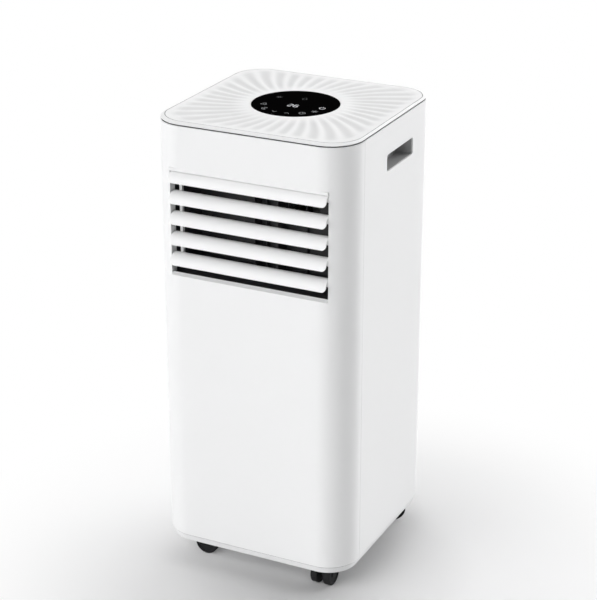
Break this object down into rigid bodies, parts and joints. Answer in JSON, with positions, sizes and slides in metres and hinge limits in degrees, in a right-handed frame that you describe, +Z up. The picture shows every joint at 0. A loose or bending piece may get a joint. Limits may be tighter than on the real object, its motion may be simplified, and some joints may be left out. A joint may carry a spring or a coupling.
{
  "type": "portable air conditioner",
  "caption": "Square white mobile air conditioner with tilting front louvres, a fluted lid round a glass touch panel, side grips, rear hose collar and casters.",
  "frame": {"origin": "on the floor, under the middle of the whole object", "axes": "+Z up; the louvred front faces -Y; +X is its right-hand side seen from the front"},
  "size_m": [0.305, 0.314, 0.6898],
  "materials": {
    "casing_white": "smooth satin moulded ABS",
    "lid_white": "smooth satin moulded ABS",
    "louvre_white": "smooth satin moulded ABS",
    "base_white": "satin moulded plastic",
    "black_glass": "polished, printed from behind",
    "circuit_board": "solder mask",
    "grey_plastic": "fine matt grain",
    "duct_black": "matt moulded",
    "duct_grey": "matt moulded",
    "black_plastic": "matt",
    "black_nylon": "moulded nylon",
    "wheel_rubber": "soft tread",
    "black_rubber": "matt",
    "zinc_steel": "zinc plated",
    "motor_metal": "plain",
    "compressor_black": "baked enamel",
    "fin_aluminium": "bare fins",
    "copper": "bare copper tube",
    "capacitor_can": "plain can",
    "filter_mesh": "woven nylon mesh in a moulded frame"
  },
  "bodies": {
    "casing": {"base_tray": "base_white", "front_panel": "casing_white", "side_panel_left": "casing_white", "side_panel_right": "casing_white", "rear_panel": "casing_white", "top_cover": "lid_white", "control_disc": "black_glass", "display_board": "circuit_board", "handle_cup_left": "grey_plastic", "handle_cup_right": "grey_plastic", "lower_grille": "casing_white", "exhaust_collar": "casing_white", "drain_spouts": "grey_plastic", "cord_inlet": "black_plastic", "casing_screws": "zinc_steel", "caster_sockets": "zinc_steel", "cold_scroll": "duct_grey", "cold_motor": "motor_metal", "outlet_duct": "duct_black", "hot_scroll": "duct_black", "hot_motor": "motor_metal", "exhaust_duct": "duct_black", "evaporator_coil": "fin_aluminium", "condenser_coil": "fin_aluminium", "coil_bends": "copper", "water_tray": "duct_black", "splash_motor": "motor_metal", "compressor": "compressor_black", "compressor_grommets": "black_rubber", "accumulator": "compressor_black", "refrigerant_pipes": "copper", "control_box": "zinc_steel", "run_capacitor": "capacitor_can"},
    "louvre_1": {"louvre_blade_1": "louvre_white"},
    "louvre_2": {"louvre_blade_2": "louvre_white"},
    "louvre_3": {"louvre_blade_3": "louvre_white"},
    "louvre_4": {"louvre_blade_4": "louvre_white"},
    "louvre_5": {"louvre_blade_5": "louvre_white"},
    "link_bar": {"louvre_link_bar": "louvre_white"},
    "filter_door": {"filter_door": "casing_white", "dust_filter": "filter_mesh"},
    "caster_front_left": {"caster_hood_front_left": "black_nylon"},
    "wheels_front_left": {"caster_wheels_front_left": "wheel_rubber", "caster_axle_front_left": "zinc_steel"},
    "caster_front_right": {"caster_hood_front_right": "black_nylon"},
    "wheels_front_right": {"caster_wheels_front_right": "wheel_rubber", "caster_axle_front_right": "zinc_steel"},
    "caster_rear_left": {"caster_hood_rear_left": "black_nylon"},
    "wheels_rear_left": {"caster_wheels_rear_left": "wheel_rubber", "caster_axle_rear_left": "zinc_steel"},
    "caster_rear_right": {"caster_hood_rear_right": "black_nylon"},
    "wheels_rear_right": {"caster_wheels_rear_right": "wheel_rubber", "caster_axle_rear_right": "zinc_steel"},
    "cold_fan": {"cold_wheel": "duct_black", "cold_shaft": "zinc_steel"},
    "hot_fan": {"hot_wheel": "duct_black", "hot_shaft": "zinc_steel"},
    "splash_wheel": {"splash_wheel": "duct_grey"},
    "drain_plug_lower": {"drain_plug_lower": "black_rubber"},
    "drain_plug_upper": {"drain_plug_upper": "black_rubber"}
  },
  "joints": [
    {"name": "louvre_1_tilt", "type": "hinge", "parent": "casing", "child": "louvre_1", "pos_m": [0, -0.1419, 0.60835], "axis": [1, 0, 0], "range_deg": [-15, 55]},
    {"name": "louvre_2_tilt", "type": "hinge", "parent": "casing", "child": "louvre_2", "pos_m": [0, -0.1419, 0.57775], "axis": [1, 0, 0], "range_deg": [-15, 55]},
    {"name": "louvre_3_tilt", "type": "hinge", "parent": "casing", "child": "louvre_3", "pos_m": [0, -0.1419, 0.54715], "axis": [1, 0, 0], "range_deg": [-15, 55]},
    {"name": "louvre_4_tilt", "type": "hinge", "parent": "casing", "child": "louvre_4", "pos_m": [0, -0.1419, 0.51655], "axis": [1, 0, 0], "range_deg": [-15, 55]},
    {"name": "louvre_5_tilt", "type": "hinge", "parent": "casing", "child": "louvre_5", "pos_m": [0, -0.1419, 0.48595], "axis": [1, 0, 0], "range_deg": [-15, 55]},
    {"name": "link_bar_pivot", "type": "hinge", "parent": "louvre_1", "child": "link_bar", "pos_m": [-0.1135, -0.13154, 0.61247], "axis": [1, 0, 0], "range_deg": [-55, 15]},
    {"name": "filter_door_hinge", "type": "hinge", "parent": "casing", "child": "filter_door", "pos_m": [0, 0.1503, 0.4205], "axis": [-1, 0, 0], "range_deg": [0, 60]},
    {"name": "caster_front_left_swivel", "type": "hinge", "parent": "casing", "child": "caster_front_left", "pos_m": [-0.1045, -0.1045, 0.041], "axis": [0, 0, 1], "continuous": true},
    {"name": "wheels_front_left_roll", "type": "hinge", "parent": "caster_front_left", "child": "wheels_front_left", "pos_m": [-0.0925, -0.1045, 0.018], "axis": [0, -1, 0], "continuous": true},
    {"name": "caster_front_right_swivel", "type": "hinge", "parent": "casing", "child": "caster_front_right", "pos_m": [0.1045, -0.1045, 0.041], "axis": [0, 0, 1], "continuous": true},
    {"name": "wheels_front_right_roll", "type": "hinge", "parent": "caster_front_right", "child": "wheels_front_right", "pos_m": [0.1045, -0.1165, 0.018], "axis": [-1, 0, 0], "continuous": true},
    {"name": "caster_rear_left_swivel", "type": "hinge", "parent": "casing", "child": "caster_rear_left", "pos_m": [-0.1045, 0.1045, 0.041], "axis": [0, 0, 1], "continuous": true},
    {"name": "wheels_rear_left_roll", "type": "hinge", "parent": "caster_rear_left", "child": "wheels_rear_left", "pos_m": [-0.1105, 0.11489, 0.018], "axis": [0.866, 0.5, 0], "continuous": true},
    {"name": "caster_rear_right_swivel", "type": "hinge", "parent": "casing", "child": "caster_rear_right", "pos_m": [0.1045, 0.1045, 0.041], "axis": [0, 0, 1], "continuous": true},
    {"name": "wheels_rear_right_roll", "type": "hinge", "parent": "caster_rear_right", "child": "wheels_rear_right", "pos_m": [0.11433, 0.11138, 0.018], "axis": [0.5736, -0.8192, 0], "continuous": true},
    {"name": "cold_fan_spin", "type": "hinge", "parent": "casing", "child": "cold_fan", "pos_m": [-0.038, -0.024, 0.52], "axis": [0, 1, 0], "continuous": true},
    {"name": "hot_fan_spin", "type": "hinge", "parent": "casing", "child": "hot_fan", "pos_m": [0.03, 0.055, 0.152], "axis": [0, 1, 0], "continuous": true},
    {"name": "splash_wheel_spin", "type": "hinge", "parent": "casing", "child": "splash_wheel", "pos_m": [-0.07, 0.097, 0.088], "axis": [0, 1, 0], "continuous": true},
    {"name": "drain_plug_lower_pull", "type": "slide", "parent": "casing", "child": "drain_plug_lower", "axis": [0, 1, 0], "range_m": [0, 0.02]},
    {"name": "drain_plug_upper_pull", "type": "slide", "parent": "casing", "child": "drain_plug_upper", "axis": [0, 1, 0], "range_m": [0, 0.02]}
  ],
  "couplings": [
    {"joint": "louvre_2_tilt", "follows": "louvre_1_tilt", "ratio": 1},
    {"joint": "louvre_3_tilt", "follows": "louvre_1_tilt", "ratio": 1},
    {"joint": "louvre_4_tilt", "follows": "louvre_1_tilt", "ratio": 1},
    {"joint": "louvre_5_tilt", "follows": "louvre_1_tilt", "ratio": 1},
    {"joint": "link_bar_pivot", "follows": "louvre_1_tilt", "ratio": -1}
  ]
}
